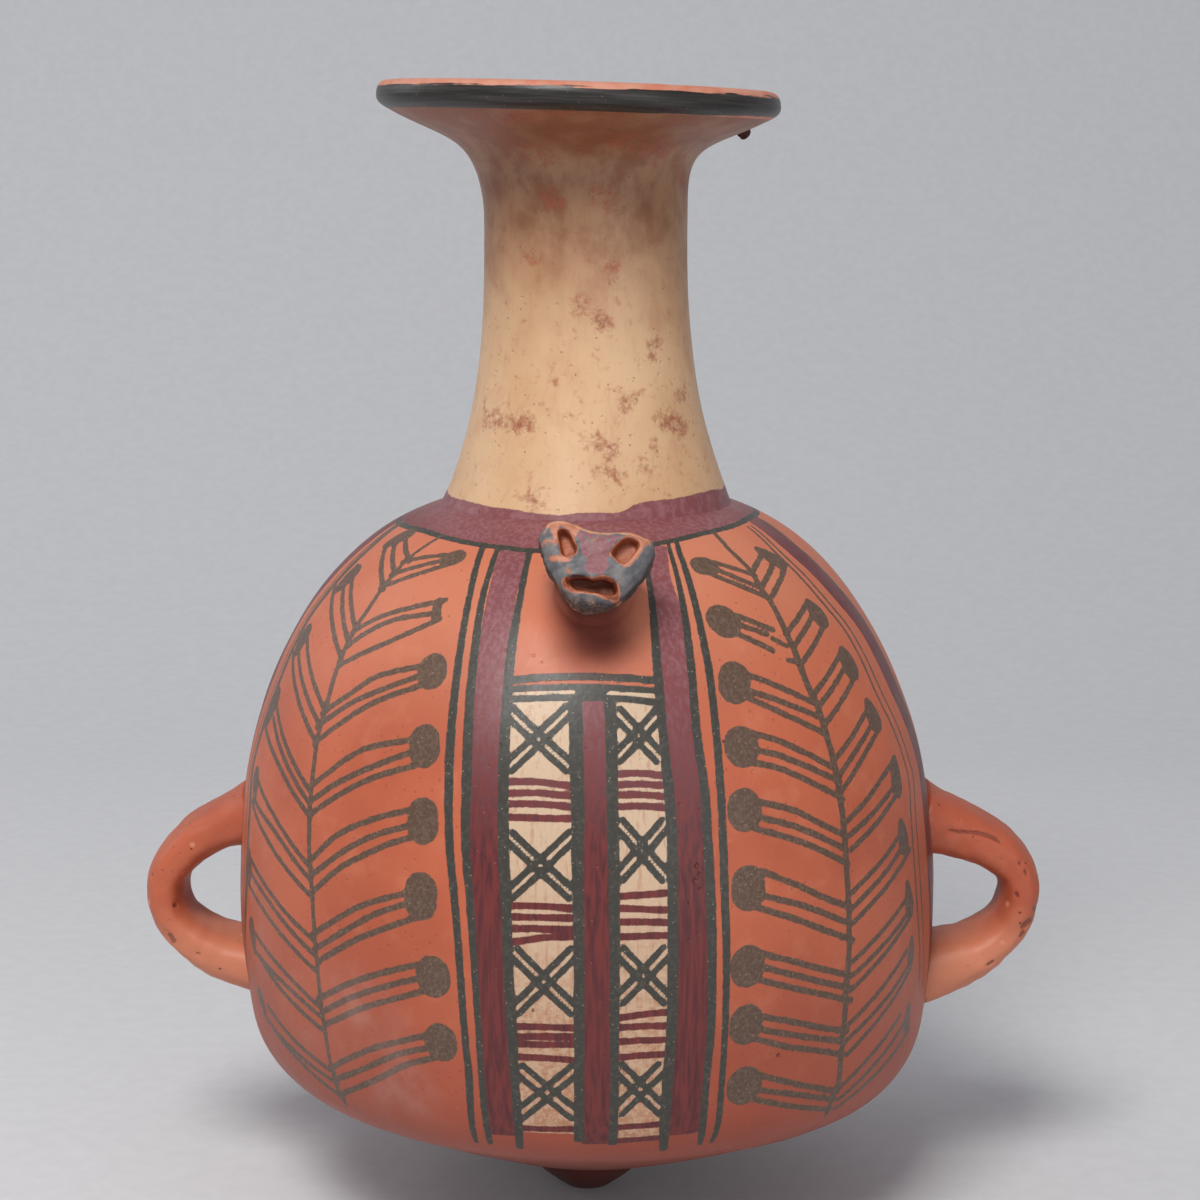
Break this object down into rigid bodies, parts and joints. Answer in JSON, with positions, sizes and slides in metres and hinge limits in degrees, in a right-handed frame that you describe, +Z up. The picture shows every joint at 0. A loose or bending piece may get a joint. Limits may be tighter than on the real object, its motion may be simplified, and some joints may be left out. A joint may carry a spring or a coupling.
{
  "type": "two-handled clay jar",
  "caption": "Pear-bodied burnished clay jar with a pointed foot, tall neck, trumpet mouth, strap handles and a feline-head lug, painted with fern and panel bands.",
  "frame": {"origin": "centre of the flat tip of the foot, on the jar's axis", "axes": "+Z up the jar's axis towards the mouth, -Y towards the lug and the painted front, +X towards the right handle as seen from the front"},
  "size_m": [0.233, 0.18, 0.2905],
  "materials": {
    "burnished_clay": "burnished orange-red slip, satin",
    "handle_clay": "smoothed clay, matt",
    "cream_slip": "cream slip, burnished, stained",
    "black_slip": "black painted slip, satin",
    "worn_clay": "worn clay, rough"
  },
  "bodies": {
    "root": {"foot_tip": "burnished_clay", "base_bowl": "burnished_clay", "belly_wall": "burnished_clay", "shoulder_dome": "burnished_clay", "neck": "cream_slip", "mouth_flare": "cream_slip", "lip_coil": "black_slip", "lip_ear": "worn_clay", "handle_left": "handle_clay", "handle_right": "handle_clay", "lug_stalk": "handle_clay", "lug_head": "black_slip"}
  },
  "joints": []
}
